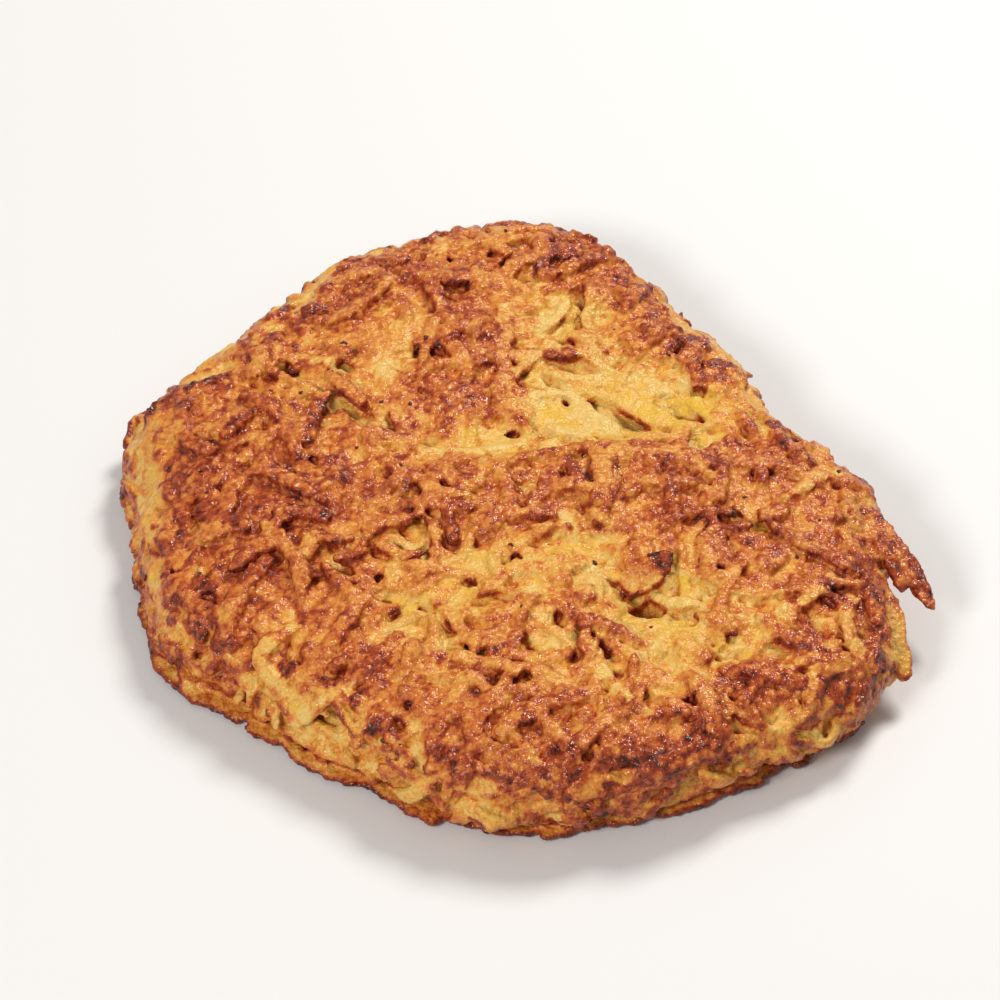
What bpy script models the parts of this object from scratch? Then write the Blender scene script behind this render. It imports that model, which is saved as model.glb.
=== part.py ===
"""A fried potato latke: one thick, uneven cake of shredded potato, flat underneath and gently domed on top.

Run it with: blender --background --python part.py

The frame: the origin is on the ground under the middle of the cake, +Z is up, and -Y is the front, where the
wall shows most. The cake is pressed from a ball: each ring of the ball becomes a ring of the underside, of the
wall or of the top, and hollows, swellings and a fine lumpiness then shape the browned top.
"""

import math
from collections import namedtuple

import bmesh
import bpy
from mathutils import Matrix, Vector, noise

MM = 0.001

# Driving dimensions
RIM_HEIGHT = 9.2 * MM  # height of the cake at its edge
DOME_RISE = 3.4 * MM  # how much higher the middle of the top is than its edge
REST_SHARE = 0.80  # the share of each radius over which the underside lies flat on the ground
FOOT_LIFT = 1.6 * MM  # how far the underside curls up on its way from the flat to the foot of the wall
WALL_BULGE = 1.3 * MM  # how far the wall swells out half way up
LEFT_FLARE = 4.6 * MM  # how much further the foot reaches than the top's edge, on the left
FLARE_ANGLE = math.radians(178)
TOP_EDGE_ROUNDING = 2.6 * MM  # how far in from the edge the top starts to level out

# Fineness of the mesh
SEGMENTS = 112
UNDERSIDE_RINGS = 9
WALL_RINGS = 8
TOP_RINGS = 21

# How far the foot reaches from the middle, at each angle in degrees, counted from +X towards +Y
Reach = namedtuple("Reach", "degrees distance")
REACHES = (
    Reach(2, 39.4 * MM),
    Reach(14, 35.9 * MM),
    Reach(27, 32.4 * MM),
    Reach(43, 34.3 * MM),
    Reach(56, 36.6 * MM),
    Reach(66, 39.6 * MM),
    Reach(76, 45.4 * MM),
    Reach(87, 49.4 * MM),
    Reach(104, 48.6 * MM),
    Reach(126, 47.2 * MM),
    Reach(146, 46.8 * MM),
    Reach(161, 50.0 * MM),
    Reach(180, 46.2 * MM),
    Reach(203, 45.8 * MM),
    Reach(222, 41.6 * MM),
    Reach(243, 40.8 * MM),
    Reach(262, 44.6 * MM),
    Reach(284, 44.4 * MM),
    Reach(305, 45.2 * MM),
    Reach(326, 47.4 * MM),
    Reach(344, 42.2 * MM),
)

# Long rounded dents in the top (height below zero) and swellings (above zero)
Swell = namedtuple("Swell", "x y length width turn height")
SWELLS = (
    # The long pale split across the middle, and the wide basin at its right end
    Swell(-3 * MM, 7.3 * MM, 34 * MM, 6 * MM, 8, -1.9 * MM),
    Swell(11.2 * MM, 14.7 * MM, 24 * MM, 12 * MM, 4, -1.9 * MM),
    # The pale dip under the back edge
    Swell(7.3 * MM, 29.6 * MM, 16 * MM, 9 * MM, -6, -1.3 * MM),
    # The crooked gully in front of the middle, which ends in a small hole
    Swell(-2 * MM, -12.2 * MM, 30 * MM, 6 * MM, 10, -1.2 * MM),
    Swell(14.5 * MM, -18.4 * MM, 11 * MM, 9 * MM, -20, -2.3 * MM),
    # The gap behind the loose shred near the front left edge
    Swell(-20.3 * MM, -33.2 * MM, 19 * MM, 7 * MM, -24, -2.2 * MM),
    Swell(-25.4 * MM, -19.5 * MM, 12 * MM, 6 * MM, 35, -0.8 * MM),
    Swell(26.8 * MM, -26.9 * MM, 14 * MM, 6 * MM, 50, -0.9 * MM),
    # The thick parts that browned first
    Swell(-13.2 * MM, 19.9 * MM, 22 * MM, 17 * MM, -20, 1.3 * MM),
    Swell(-29.8 * MM, -2.9 * MM, 20 * MM, 26 * MM, 10, 1.1 * MM),
    Swell(13.9 * MM, -1.4 * MM, 26 * MM, 9 * MM, -2, 1.2 * MM),
    Swell(27.6 * MM, -6.6 * MM, 14 * MM, 18 * MM, 40, 0.8 * MM),
    Swell(7.4 * MM, -41.1 * MM, 42 * MM, 9 * MM, 2, 1.3 * MM),
    Swell(28.5 * MM, -34.9 * MM, 14 * MM, 12 * MM, 40, 1.0 * MM),
)

# The lumpiness of the shredded potato: coarse lumps, and finer ones the size of a shred's width
COARSE_LUMP = 11 * MM
COARSE_HEIGHT = 0.55 * MM
FINE_LUMP = 4.6 * MM
FINE_HEIGHT = 0.45 * MM
RAGGED_EDGE = 1.0 * MM  # how far shred ends and gaps make the wall wander in and out
EDGE_WAVE = 7 * MM  # the usual distance from one such shred end to the next


def smooth_step(value):
    """0 below 0, 1 above 1, and a smooth rise between them."""
    value = min(1.0, max(0.0, value))
    return value * value * (3 - 2 * value)


def foot_reach(angle):
    """How far the cake's foot reaches at this angle in radians, on a smooth closed curve through REACHES."""
    degrees = math.degrees(angle) % 360
    count = len(REACHES)
    after = next((i for i, reach in enumerate(REACHES) if reach.degrees > degrees), 0)
    near = [REACHES[(after + step) % count] for step in (-2, -1, 0, 1)]
    span = (near[2].degrees - near[1].degrees) % 360
    share = ((degrees - near[1].degrees) % 360) / span
    before, start, end, beyond = (reach.distance for reach in near)
    # A Catmull-Rom spline between the two nearest reaches
    return 0.5 * (
        2 * start
        + (end - before) * share
        + (2 * before - 5 * start + 4 * end - beyond) * share**2
        + (3 * start - before - 3 * end + beyond) * share**3
    )


def edge_reach(angle):
    """How far the top's edge reaches. It is the foot's reach, but drawn in where the wall leans on the left."""
    lean = max(0.0, math.cos(angle - FLARE_ANGLE)) ** 3
    return foot_reach(angle) - LEFT_FLARE * lean


def swell_height(x, y):
    """What the dents and swellings add to the top's height."""
    total = 0.0
    for swell in SWELLS:
        turn = math.radians(swell.turn)
        along = (x - swell.x) * math.cos(turn) + (y - swell.y) * math.sin(turn)
        across = (y - swell.y) * math.cos(turn) - (x - swell.x) * math.sin(turn)
        far = (2 * along / swell.length) ** 2 + (2 * across / swell.width) ** 2
        total += swell.height * math.exp(-far)
    return total


def lumps(point, size, height, seed):
    """A smooth random height between about -height and +height, from lumps of this size."""
    return height * noise.noise(point / size + Vector((seed, 2 * seed, 3 * seed)))


def underside_point(share, angle):
    """A point of the underside: flat on the ground, then curling up to the foot of the wall."""
    curl = smooth_step((share - REST_SHARE) / (1 - REST_SHARE))
    radius = share * (foot_reach(angle) - TOP_EDGE_ROUNDING * 0.4)
    return radius, FOOT_LIFT * curl


def wall_point(share, angle):
    """A point of the wall, from its foot at share 0 to the top's edge at share 1."""
    foot = foot_reach(angle)
    edge = edge_reach(angle)
    radius = foot + (edge - foot) * share + WALL_BULGE * math.sin(math.pi * share) ** 0.8
    corner = 0.4 * TOP_EDGE_ROUNDING * (2 * share - 1) ** 8
    height = FOOT_LIFT + (RIM_HEIGHT - FOOT_LIFT) * share
    return radius - corner, height


def top_point(share, angle):
    """A point of the top, from its edge at share 0 to the middle at share 1."""
    edge = edge_reach(angle) - 0.4 * TOP_EDGE_ROUNDING
    radius = edge * (1 - share)
    shoulder = 0.35 * DOME_RISE * smooth_step((edge - radius) / TOP_EDGE_ROUNDING)
    dome = 0.65 * DOME_RISE * (1 - (radius / edge) ** 2)
    x = radius * math.cos(angle)
    y = radius * math.sin(angle)
    fade = smooth_step((edge - radius) / (2 * TOP_EDGE_ROUNDING))
    return radius, RIM_HEIGHT + shoulder + dome + fade * swell_height(x, y)


def pressed(ring, angle):
    """(radius, height) of a ring of the ball at this angle, once it is pressed into the cake's shape."""
    if ring < UNDERSIDE_RINGS:
        return underside_point(ring / UNDERSIDE_RINGS, angle)
    if ring < UNDERSIDE_RINGS + WALL_RINGS:
        return wall_point((ring - UNDERSIDE_RINGS) / WALL_RINGS, angle)
    return top_point((ring - UNDERSIDE_RINGS - WALL_RINGS) / TOP_RINGS, angle)


def roughened(radius, height, angle):
    """The point at this radius, height and angle, moved by the lumpiness of the shreds."""
    outward = Vector((math.cos(angle), math.sin(angle), 0))
    point = outward * radius + Vector((0, 0, height))
    edge = edge_reach(angle)
    at_wall = smooth_step((radius - 0.9 * edge) / (0.1 * edge))
    in_height = smooth_step((height - 0.5 * FOOT_LIFT) / FOOT_LIFT)
    ragged = lumps(point, EDGE_WAVE, RAGGED_EDGE, 3.7) + lumps(point, FINE_LUMP, 0.5 * RAGGED_EDGE, 8.2)
    on_top = smooth_step((height - 0.8 * RIM_HEIGHT) / (0.2 * RIM_HEIGHT))
    rise = lumps(point, COARSE_LUMP, COARSE_HEIGHT, 1.3) + lumps(point, FINE_LUMP, FINE_HEIGHT, 5.9)
    return point + outward * ragged * at_wall * (0.3 + 0.7 * in_height) + Vector((0, 0, rise * on_top))


def latke_mesh():
    """The cake: a ball whose rings are pressed flat below, upright at the wall and domed on top."""
    rings = UNDERSIDE_RINGS + WALL_RINGS + TOP_RINGS
    bm = bmesh.new()
    bmesh.ops.create_uvsphere(bm, u_segments=SEGMENTS, v_segments=rings, radius=1.0)
    for vertex in bm.verts:
        ring = round(rings * (0.5 + math.asin(max(-1.0, min(1.0, vertex.co.z))) / math.pi))
        angle = math.atan2(vertex.co.y, vertex.co.x)
        radius, height = pressed(ring, angle)
        vertex.co = roughened(radius, height, angle)
    middle = box_middle(bm)
    bmesh.ops.translate(bm, verts=bm.verts, vec=-middle)
    bmesh.ops.triangulate(bm, faces=bm.faces, quad_method="SHORT_EDGE")
    bmesh.ops.recalc_face_normals(bm, faces=bm.faces)
    mesh = bpy.data.meshes.new("latke")
    bm.to_mesh(mesh)
    bm.free()
    return mesh


def box_middle(bm):
    """The point on the ground under the middle of the mesh's box."""
    xs = [vertex.co.x for vertex in bm.verts]
    ys = [vertex.co.y for vertex in bm.verts]
    return Vector(((min(xs) + max(xs)) / 2, (min(ys) + max(ys)) / 2, 0))


def browned_potato():
    """The plain finish of the crust: golden brown, with the dull gleam of frying oil."""
    material = bpy.data.materials.new("browned_potato")
    material.use_nodes = True
    shader = material.node_tree.nodes["Principled BSDF"]
    shader.inputs["Base Color"].default_value = (0.50, 0.21, 0.06, 1.0)
    shader.inputs["Roughness"].default_value = 0.5
    shader.inputs["Metallic"].default_value = 0.0
    return material


def clear_scene():
    for obj in list(bpy.data.objects):
        bpy.data.objects.remove(obj)


def build():
    clear_scene()
    mesh = latke_mesh()
    mesh.shade_smooth()
    mesh.materials.append(browned_potato())
    latke = bpy.data.objects.new("latke", mesh)
    latke.matrix_world = Matrix.Identity(4)
    bpy.context.scene.collection.objects.link(latke)


build()
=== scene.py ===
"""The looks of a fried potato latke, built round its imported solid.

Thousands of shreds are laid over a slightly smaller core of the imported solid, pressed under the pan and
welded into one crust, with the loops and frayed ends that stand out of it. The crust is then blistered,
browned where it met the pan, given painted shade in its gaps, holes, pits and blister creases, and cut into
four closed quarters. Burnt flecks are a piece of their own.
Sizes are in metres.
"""

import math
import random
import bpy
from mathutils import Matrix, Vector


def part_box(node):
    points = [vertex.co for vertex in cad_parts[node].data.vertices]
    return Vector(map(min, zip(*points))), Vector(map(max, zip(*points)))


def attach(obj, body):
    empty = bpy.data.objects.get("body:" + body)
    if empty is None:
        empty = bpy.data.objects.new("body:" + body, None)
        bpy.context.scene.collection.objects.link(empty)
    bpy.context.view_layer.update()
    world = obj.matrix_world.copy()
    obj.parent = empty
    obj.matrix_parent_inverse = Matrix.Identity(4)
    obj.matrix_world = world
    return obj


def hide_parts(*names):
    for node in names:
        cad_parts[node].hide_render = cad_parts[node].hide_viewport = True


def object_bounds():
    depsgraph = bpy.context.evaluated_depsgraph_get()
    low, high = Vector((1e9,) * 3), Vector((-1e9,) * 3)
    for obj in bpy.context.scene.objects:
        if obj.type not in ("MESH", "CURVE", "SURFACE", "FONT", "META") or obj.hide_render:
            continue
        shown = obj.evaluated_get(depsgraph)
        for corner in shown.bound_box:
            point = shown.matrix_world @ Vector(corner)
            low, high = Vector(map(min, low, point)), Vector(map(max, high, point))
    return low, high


bl_info = {
    "name": "Fried potato latke",
    "version": (1, 0, 0),
    "blender": (4, 5, 0),
    "location": "3D View > Sidebar > Latke",
    "description": "Builds a fried cake of shredded potato round its solid",
    "category": "Add Mesh",
}

from collections import namedtuple

import bmesh
import bpy
import numpy as np
from bpy.props import FloatProperty, FloatVectorProperty, IntProperty, PointerProperty
from mathutils import Matrix, Vector, kdtree, noise
from mathutils.bvhtree import BVHTree

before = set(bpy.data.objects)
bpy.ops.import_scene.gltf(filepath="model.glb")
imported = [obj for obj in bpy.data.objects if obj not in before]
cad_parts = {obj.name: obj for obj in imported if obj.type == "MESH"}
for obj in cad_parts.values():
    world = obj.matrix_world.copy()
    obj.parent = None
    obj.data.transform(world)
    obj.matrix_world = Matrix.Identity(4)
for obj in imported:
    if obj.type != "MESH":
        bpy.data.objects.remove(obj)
CAD_NODE = "latke"
BODY = "root"
SOLID_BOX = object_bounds()
FOOT_CORNER, TOP_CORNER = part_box(CAD_NODE)
HEIGHT = TOP_CORNER.z - FOOT_CORNER.z

MM = 0.001


# --------------------------------------------------------------------------------------------------
# Settings


class LatkeSizes(bpy.types.PropertyGroup):
    """The sizes of the shreds and of the cake's crust."""

    crust_cell: FloatProperty(
        name="Crust cell", description="The side of one face of the crust", default=0.285 * MM, unit="LENGTH"
    )
    core_inset: FloatProperty(
        name="Core inset", description="How deep the core lies", default=0.65 * MM, unit="LENGTH"
    )
    shred_width: FloatProperty(
        name="Shred width", description="The usual width of a shred", default=1.9 * MM, unit="LENGTH"
    )
    shred_thickness: FloatProperty(
        name="Shred thickness", description="The usual thickness of a shred", default=0.9 * MM, unit="LENGTH"
    )
    shred_length: FloatProperty(
        name="Shred length", description="The usual length of a shred", default=9.0 * MM, unit="LENGTH"
    )
    shreds_on_top: IntProperty(name="Shreds on top", description="How many lie on the top", default=1750)
    proud_shreds: IntProperty(name="Proud shreds", description="How many lie over the top", default=330)
    shreds_on_wall: IntProperty(name="Shreds on the wall", description="How many lie round it", default=620)
    shreds_below: IntProperty(name="Shreds below", description="How many lie under the cake", default=1200)
    seed: IntProperty(name="Seed", description="Another number gives another latke", default=7)


class LatkeColours(bpy.types.PropertyGroup):
    """The colours of potato, from hardly fried to burnt."""

    raw: FloatVectorProperty(
        name="Pale potato", description="Hardly fried", default=(0.68, 0.395, 0.085), subtype="COLOR"
    )
    cream: FloatVectorProperty(
        name="Cream", description="The palest shreds", default=(0.71, 0.475, 0.14), subtype="COLOR"
    )
    yellow: FloatVectorProperty(
        name="Yellow", description="Wet, clear shreds", default=(0.68, 0.41, 0.042), subtype="COLOR"
    )
    golden: FloatVectorProperty(
        name="Golden", description="Lightly fried", default=(0.66, 0.285, 0.050), subtype="COLOR"
    )
    amber: FloatVectorProperty(
        name="Amber", description="Fried to a golden brown", default=(0.53, 0.148, 0.030), subtype="COLOR"
    )
    russet: FloatVectorProperty(
        name="Russet", description="Well fried", default=(0.33, 0.050, 0.014), subtype="COLOR"
    )
    dark: FloatVectorProperty(
        name="Dark", description="The crispest ends and edges", default=(0.150, 0.020, 0.011), subtype="COLOR"
    )
    char: FloatVectorProperty(
        name="Char", description="Burnt specks", default=(0.030, 0.009, 0.007), subtype="COLOR"
    )


# --------------------------------------------------------------------------------------------------
# Small tools


def smooth_step(values, low, high):
    """0 below low, 1 above high, and a smooth rise between them."""
    share = np.clip((values - low) / (high - low), 0, 1)
    return share * share * (3 - 2 * share)


def rows_of(items, key, width, kind=np.float32):
    """What each of a mesh's items holds under this key, as an array with a row for each item."""
    flat = np.empty(len(items) * width, kind)
    items.foreach_get(key, flat)
    return flat.reshape(-1, width)


def points_of(mesh):
    return rows_of(mesh.vertices, "co", 3).astype(float)


def normals_of(mesh):
    return rows_of(mesh.vertex_normals, "vector", 3).astype(float)


def edges_of(mesh):
    return rows_of(mesh.edges, "vertices", 2, np.int32)


def set_points(mesh, points):
    mesh.vertices.foreach_set("co", points.astype(np.float32).ravel())
    mesh.update()


def set_attribute(mesh, name, values):
    """Stores one number, or one vector, for each vertex under this name."""
    is_vector = values.ndim == 2
    attribute = mesh.attributes.new(name, "FLOAT_VECTOR" if is_vector else "FLOAT", "POINT")
    attribute.data.foreach_set("vector" if is_vector else "value", values.astype(np.float32).ravel())


def lengths(vectors):
    """The length of each vector, never quite 0, so that it can be divided by."""
    return np.linalg.norm(vectors, axis=-1, keepdims=True) + 1e-12


NOISE_GAIN = 1.6  # brings the noise to between about -1 and 1
BUBBLE_REACH = 0.62  # how far a bubble reaches, as a share of its size


def rough_field(points, size, seed):
    """Smooth noise between about -1 and 1 at each point, with lumps of this size."""
    shifted = points / size + seed * np.array((1.7, 2.3, 3.1))
    return np.array([noise.noise(Vector(point)) for point in shifted]) * NOISE_GAIN


def blister_field(points, size, seed):
    """Round bubbles of this size: 1 in the middle of each and 0 in the creases between them."""
    shifted = points / size + seed * np.array((2.9, 1.3, 0.7))
    nearest = np.array([noise.voronoi(Vector(point))[0][0] for point in shifted])
    return 1 - np.clip(nearest / BUBBLE_REACH, 0, 1) ** 2


def smoothed(values, edges, rounds):
    """The values after this many rounds of moving half way to the mean of their neighbours on the mesh."""
    count = np.bincount(edges.ravel(), minlength=len(values)).astype(float)
    count[count == 0] = 1
    for _ in range(rounds):
        total = np.bincount(edges[:, 0], values[edges[:, 1]], len(values))
        total += np.bincount(edges[:, 1], values[edges[:, 0]], len(values))
        values = values + 0.5 * (total / count - values)
    return values


def add_object(name, data):
    made = bpy.data.objects.new(name, data)
    bpy.context.scene.collection.objects.link(made)
    return made


def bmesh_of(*meshes):
    bm = bmesh.new()
    for mesh in meshes:
        bm.from_mesh(mesh)
    return bm


def mesh_from(bm, name):
    """A mesh that holds what the bmesh holds. The bmesh is freed."""
    mesh = bpy.data.meshes.new(name)
    bm.to_mesh(mesh)
    bm.free()
    return mesh


def surface_tree(*meshes):
    """What finds the points of these meshes' surfaces."""
    bm = bmesh_of(*meshes)
    tree = BVHTree.FromBMesh(bm)
    bm.free()
    return tree


def evaluated_copy(obj):
    """A plain mesh of the object with its modifiers applied."""
    graph = bpy.context.evaluated_depsgraph_get()
    return bpy.data.meshes.new_from_object(obj.evaluated_get(graph))


def remeshed(meshes, cell, relaxing):
    """One closed skin round all the meshes, with even faces of this size."""
    joined = mesh_from(bmesh_of(*meshes), "joined")
    obj = add_object("joined", joined)
    remesh = obj.modifiers.new("one skin", "REMESH")
    remesh.mode = "VOXEL"
    remesh.voxel_size = cell
    relax = obj.modifiers.new("relax", "SMOOTH")
    relax.factor = 0.5
    relax.iterations = relaxing
    made = evaluated_copy(obj)
    bpy.data.objects.remove(obj)
    bpy.data.meshes.remove(joined)
    return made


def without_crumbs(mesh, smallest=500):
    """The mesh without the tiny separate lumps that welding leaves behind."""
    bm = bmesh_of(mesh)
    unseen, crumbs = set(bm.verts), []
    while unseen:
        lump, edge_of_lump = set(), [unseen.pop()]
        while edge_of_lump:
            vertex = edge_of_lump.pop()
            lump.add(vertex)
            for edge in vertex.link_edges:
                other = edge.other_vert(vertex)
                if other in unseen:
                    unseen.discard(other)
                    edge_of_lump.append(other)
        if len(lump) < smallest:
            crumbs.extend(lump)
    bmesh.ops.delete(bm, geom=crumbs, context="VERTS")
    bm.to_mesh(mesh)
    bm.free()
    return mesh


def finish_piece(piece, material):
    """Gives the piece its material and its place in the frame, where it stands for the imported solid."""
    piece.data.materials.append(material)
    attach(piece, BODY)
    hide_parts(CAD_NODE)


# --------------------------------------------------------------------------------------------------
# The smooth cake, on which everything is laid


class Cake:
    """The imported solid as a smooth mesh, with what is measured on it."""

    CELL = 0.7 * MM  # the side of one face of the mesh
    SIDE_LIMIT = 0.6  # the upward part of the way out, between the wall and the top or the underside
    SLICE = 2  # degrees of the full turn in which one reach is measured
    SLICES = 360 // SLICE
    DOME_SCALE = 50 * MM
    CORE_HEIGHT = 0.35 * MM  # how far the core stays over the ground

    def __init__(self):
        bm = bmesh_of(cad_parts[CAD_NODE].data)
        bmesh.ops.remove_doubles(bm, verts=bm.verts, dist=1e-6)
        self.mesh = remeshed([mesh_from(bm, "solid")], self.CELL, 6)
        self.points = points_of(self.mesh)
        self.normals = normals_of(self.mesh)
        self.tree = surface_tree(self.mesh)
        up = self.normals[:, 2]
        self.top = np.flatnonzero(up > self.SIDE_LIMIT)
        self.wall = np.flatnonzero(abs(up) <= self.SIDE_LIMIT)
        self.under = np.flatnonzero(up < -self.SIDE_LIMIT)
        self.dome_fit = self.fitted_dome()
        self.reach = self.measured_reach()

    def core(self, inset):
        """The cake's mesh, drawn in by this much."""
        mesh = self.mesh.copy()
        points = self.points - self.normals * inset
        points[:, 2] = np.maximum(points[:, 2], self.CORE_HEIGHT)
        set_points(mesh, points)
        return mesh

    def dome_terms(self, points):
        x, y = points[:, 0] / self.DOME_SCALE, points[:, 1] / self.DOME_SCALE
        return np.stack([np.ones(len(x)), x, y, x * x, x * y, y * y, (x * x + y * y) ** 2], axis=1)

    def fitted_dome(self):
        terms = self.dome_terms(self.points[self.top])
        fit, *_ = np.linalg.lstsq(terms, self.points[self.top, 2], rcond=None)
        return fit

    def dome(self, points):
        """The height of a smooth dome through the top."""
        return self.dome_terms(points) @ self.dome_fit

    def slice_place(self, points):
        """Where each point's bearing falls among the slices, counted from -X."""
        return (np.arctan2(points[:, 1], points[:, 0]) + math.pi) / (2 * math.pi) * self.SLICES

    def measured_reach(self):
        """How far the cake reaches from its middle, in each slice."""
        slices = self.slice_place(self.points).astype(int) % self.SLICES
        reach = np.zeros(self.SLICES)
        np.maximum.at(reach, slices, np.hypot(self.points[:, 0], self.points[:, 1]))
        return reach

    def reach_at(self, bearing):
        """How far the cake reaches at this bearing, in degrees."""
        return self.reach[int((bearing + 180) / self.SLICE) % self.SLICES]

    def rim_gap(self, points):
        """How far each point is inside the edge of the cake, seen from above."""
        place = self.slice_place(points) - 0.5
        low = np.floor(place).astype(int)
        share = place - low
        reach = self.reach[low % self.SLICES] * (1 - share) + self.reach[(low + 1) % self.SLICES] * share
        return reach - np.hypot(points[:, 0], points[:, 1])

    def nearest(self, point):
        """The point of the surface nearest to this one, and the way out there."""
        place, out, _, _ = self.tree.find_nearest(point)
        return place, out

    def over_top(self, x, y, height):
        """The point this far over the top at x and y, or over the nearest part of the rim."""
        place, _, _, _ = self.tree.ray_cast(Vector((x, y, HEIGHT * 2)), Vector((0, 0, -1)))
        if place is None:
            place, _ = self.nearest(Vector((x, y, HEIGHT * 0.6)))
        return place + Vector((0, 0, height))

    def on_wall(self, bearing, height, out):
        """The point this far out of the wall at this bearing, in degrees, and height."""
        turn = math.radians(bearing)
        away = Vector((math.cos(turn), math.sin(turn), 0))
        start = away * (TOP_CORNER.x - FOOT_CORNER.x) + Vector((0, 0, height))
        place, normal, _, _ = self.tree.ray_cast(start, -away)
        return place + normal * out


# --------------------------------------------------------------------------------------------------
# Shreds


STATIONS = 8  # points along a shred's line
SHARES = [station / (STATIONS - 1) for station in range(STATIONS)]

# A shred has a line, with the way out of the cake at each of its points. Its ends are shares of its full
# width, and its tone runs from 0, cream, to 1, yellow. Level, tilt and roll say how it lies over its line,
# and crispness how much more it is browned than what lies round it, at its start and at its tip.
SHRED_FIELDS = "line outs width thickness ends tone level tilt roll crispness"
Shred = namedtuple("Shred", SHRED_FIELDS, defaults=(0, 0, 0, (0, 0)))


def draped_line(cake, start, heading, length, bend):
    """Points and outward directions of a line of this length, laid along the surface from start."""
    steps = STATIONS - 1
    place, out = cake.nearest(start)
    line, outs = [place], [out]
    heading = Vector(heading)
    for _ in range(steps):
        heading = (heading - out * heading.dot(out)).normalized()
        heading = Matrix.Rotation(bend / steps, 3, out) @ heading
        place, out = cake.nearest(place + heading * (length / steps))
        line.append(place)
        outs.append(out)
    return line, outs


def scattered(cake, chooser, starts, count, sizes, levels, flatness=0.0):
    """Shreds at random places among these vertices. Flatness keeps them level, as along the wall."""
    shreds = []
    for _ in range(count):
        index = int(starts[chooser.randrange(len(starts))])
        out = Vector(cake.normals[index])
        heading = Vector([chooser.gauss(0, 1) for _ in range(3)])
        heading.z *= 1 - flatness
        heading = (heading - out * heading.dot(out)).normalized()
        length = sizes.shred_length * min(max(chooser.gauss(0.85, 0.38), 0.3), 2.0)
        width = sizes.shred_width * chooser.uniform(0.62, 1.35)
        start = Vector(cake.points[index]) - heading * length / 2
        line, outs = draped_line(cake, start, heading, length, chooser.gauss(0, 0.8))
        shred = Shred(
            line,
            outs,
            width,
            thickness=sizes.shred_thickness * chooser.uniform(0.7, 1.3),
            level=chooser.uniform(*levels),
            tilt=chooser.gauss(0, 0.32) * MM,
            roll=chooser.gauss(0, 0.35),
            ends=(chooser.uniform(0.25, 0.9), chooser.uniform(0.25, 0.9)),
            tone=chooser.random(),
        )
        shreds.append(shred)
    return shreds


CRUST_RISE = 0.5 * MM  # how far the crust's top lies over the smooth cake


class Strand:
    """A shred that stands out. Its path's points are x, y and the height over the crust's top, in mm.

    Its crispness runs from that at its start to that at its tip. Its broad side faces out of the cake, unless
    facing says where. Without a tone of its own it gets a random one.
    """

    facing = None

    def __init__(self, path, width, thickness, crispness, tip=None, ends=(0.6, 0.6), tone=None):
        self.path = path
        self.width = width * MM
        self.thickness = thickness * MM
        self.crispness = (crispness, crispness if tip is None else tip)
        self.ends = ends
        self.tone = tone

    def places(self, cake):
        return [cake.over_top(x * MM, y * MM, height * MM + CRUST_RISE) for x, y, height in self.path]


class HangingStrand(Strand):
    """A strand that leaves the cake. The first point is over the top, and the others are in the open."""

    facing = Vector((0.3, -0.35, 0.9)).normalized()

    def places(self, cake):
        (x, y, height), *others = self.path
        return [cake.over_top(x * MM, y * MM, height * MM), *(Vector(point) * MM for point in others)]


class WallStrand(Strand):
    """A strand on the wall. Its path's points are the bearing in degrees, the height, and how far out."""

    def places(self, cake):
        return [cake.on_wall(bearing, height * MM, out * MM) for bearing, height, out in self.path]


def laid_strand(cake, strand, chooser):
    """The strand as a shred, on a smooth line through its path."""
    tone = chooser.random() if strand.tone is None else strand.tone
    path = strand.places(cake)
    line = []
    for share in SHARES:
        place = share * (len(path) - 1)
        index = min(int(place), len(path) - 2)
        before, after = path[max(index - 1, 0)], path[min(index + 2, len(path) - 1)]
        line.append(catmull_rom(before, path[index], path[index + 1], after, place - index))
    outs = [strand.facing or cake.nearest(point)[1] for point in line]
    return Shred(line, outs, strand.width, strand.thickness, strand.ends, tone, crispness=strand.crispness)


def catmull_rom(before, start, end, after, share):
    """A point on the smooth curve from start to end."""
    square, cube = share * share, share**3
    return 0.5 * (
        2 * start
        + (end - before) * share
        + (2 * before - 5 * start + 4 * end - after) * square
        + (3 * start - before - 3 * end + after) * cube
    )


def shred_template(sides=8, rings=9, squareness=1.25):
    """A bar one unit long with a squarish section, and this many rings of vertices along it."""
    bm = bmesh.new()
    bmesh.ops.create_cone(bm, cap_ends=True, segments=sides, radius1=1.0, radius2=1.0, depth=1.0)
    corners = [vertex for vertex in bm.verts if abs(vertex.co.x * vertex.co.y) > 0.1]
    bmesh.ops.scale(bm, vec=(squareness, squareness, 1), verts=corners)
    bmesh.ops.translate(bm, vec=(0, 0, 0.5), verts=bm.verts)
    long_edges = [edge for edge in bm.edges if abs(edge.verts[0].co.z - edge.verts[1].co.z) > 0.5]
    bmesh.ops.subdivide_edges(bm, edges=long_edges, cuts=rings - 2)
    return mesh_from(bm, "shred_template")


def copies_of(template, count):
    """One mesh that holds this many copies of the template, one after the other."""
    obj = add_object("copies", template)
    array = obj.modifiers.new("copies", "ARRAY")
    array.count = count
    array.use_relative_offset = False
    mesh = evaluated_copy(obj)
    bpy.data.objects.remove(obj)
    return mesh


# Over this share of its length, at each end, a shred narrows to its end
TAPER = 0.28
TAPER_ROUNDNESS = 1.5
# How much a shred's width wavers, and how fast along it
WAVER = 0.14
WAVER_SPEED = 9
WAVER_START = 40  # times the tone, so that each shred starts to waver at another point


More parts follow.
